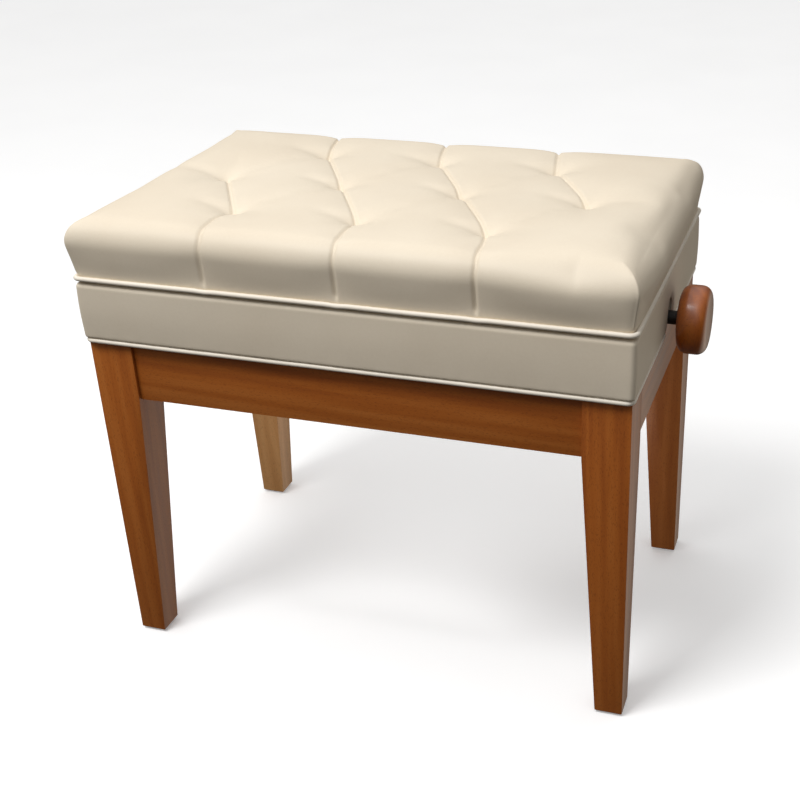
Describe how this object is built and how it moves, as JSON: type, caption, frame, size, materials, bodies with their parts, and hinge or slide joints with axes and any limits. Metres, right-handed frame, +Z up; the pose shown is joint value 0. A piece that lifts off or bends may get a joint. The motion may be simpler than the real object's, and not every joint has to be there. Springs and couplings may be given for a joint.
{
  "type": "piano bench",
  "caption": "Adjustable piano bench with a diamond-tufted vinyl seat, an upholstered skirt, tapered wooden legs and a scissor lift driven by wooden side knobs.",
  "frame": {"origin": "on the floor, under the centre of the bench", "axes": "+X along the bench's long side towards the right knob, +Y towards its rear, +Z up"},
  "size_m": [0.64, 0.36, 0.49],
  "materials": {
    "cherry_wood": "satin",
    "pale_wood": "matte",
    "vinyl": "satin",
    "foam": "matte",
    "twine": "matte",
    "black_steel": "satin",
    "zinc_steel": "satin",
    "nylon": "matte",
    "glide_rubber": "matte"
  },
  "bodies": {
    "leg_frame": {"leg_front_left": "cherry_wood", "leg_front_right": "cherry_wood", "leg_rear_left": "cherry_wood", "leg_rear_right": "cherry_wood", "apron_front": "cherry_wood", "apron_rear": "cherry_wood", "apron_left": "cherry_wood", "apron_right": "cherry_wood", "corner_braces": "pale_wood", "hanger_bolts": "zinc_steel", "brace_nuts": "zinc_steel", "wood_screws": "zinc_steel", "floor_glides": "glide_rubber", "support_battens": "pale_wood", "base_bracket_left": "black_steel", "base_bracket_right": "black_steel", "base_rail_front": "black_steel", "base_rail_rear": "black_steel", "spindle_bushes": "nylon", "lower_pivot_rivets": "zinc_steel", "lower_pivot_spacers": "nylon"},
    "arms_a": {"scissor_arm_a_front": "black_steel", "scissor_arm_a_rear": "black_steel", "centre_rod": "zinc_steel", "slide_rod": "zinc_steel", "slide_rollers": "nylon", "slide_clips": "zinc_steel"},
    "arms_b": {"scissor_arm_b_front": "black_steel", "scissor_arm_b_rear": "black_steel"},
    "nut": {"nut_bar": "black_steel", "nut_rollers": "nylon", "nut_clips": "zinc_steel"},
    "drive": {"spindle": "zinc_steel", "thrust_collars": "zinc_steel", "knob_left": "cherry_wood", "knob_right": "cherry_wood", "knob_inserts": "zinc_steel"},
    "seat": {"upper_rail_front": "black_steel", "upper_rail_rear": "black_steel", "upper_bracket_left": "black_steel", "upper_bracket_right": "black_steel", "upper_pivot_rivets": "zinc_steel", "upper_pivot_spacers": "nylon", "upper_screws": "zinc_steel", "tee_nuts": "zinc_steel", "seat_board": "pale_wood", "seat_foam": "foam", "seat_cover": "vinyl", "upper_welt": "vinyl", "tuft_ties": "twine", "tuft_anchors": "nylon", "skirt_board_front": "pale_wood", "skirt_board_rear": "pale_wood", "skirt_board_left": "pale_wood", "skirt_board_right": "pale_wood", "skirt_blocks": "pale_wood", "skirt_brackets": "zinc_steel", "skirt_screws": "zinc_steel", "skirt_cover": "vinyl", "lower_welt": "vinyl"}
  },
  "joints": [
    {"name": "seat_lift", "type": "slide", "parent": "leg_frame", "child": "seat", "axis": [0, 0, 1], "range_m": [0, 0.085]},
    {"name": "arms_a_pivot", "type": "hinge", "parent": "leg_frame", "child": "arms_a", "pos_m": [-0.19, 0, 0.373], "axis": [0, -1, 0], "range_deg": [0, 13.2]},
    {"name": "arms_b_pivot", "type": "hinge", "parent": "seat", "child": "arms_b", "pos_m": [-0.19, 0, 0.403], "axis": [0, 1, 0], "range_deg": [0, 13.2]},
    {"name": "nut_pivot", "type": "hinge", "parent": "arms_b", "child": "nut", "pos_m": [0.18881, 0, 0.373], "axis": [0, -1, 0], "range_deg": [0, 13.2]},
    {"name": "knob_turn", "type": "hinge", "parent": "leg_frame", "child": "drive", "pos_m": [0, 0, 0.373], "axis": [1, 0, 0], "range_deg": [0, 1500]}
  ],
  "couplings": [
    {"joint": "arms_a_pivot", "follows": "seat_lift", "rad_per_m": 2.6873},
    {"joint": "arms_b_pivot", "follows": "seat_lift", "rad_per_m": 2.6873},
    {"joint": "nut_pivot", "follows": "seat_lift", "rad_per_m": 2.6873},
    {"joint": "knob_turn", "follows": "seat_lift", "rad_per_m": 307.38}
  ]
}
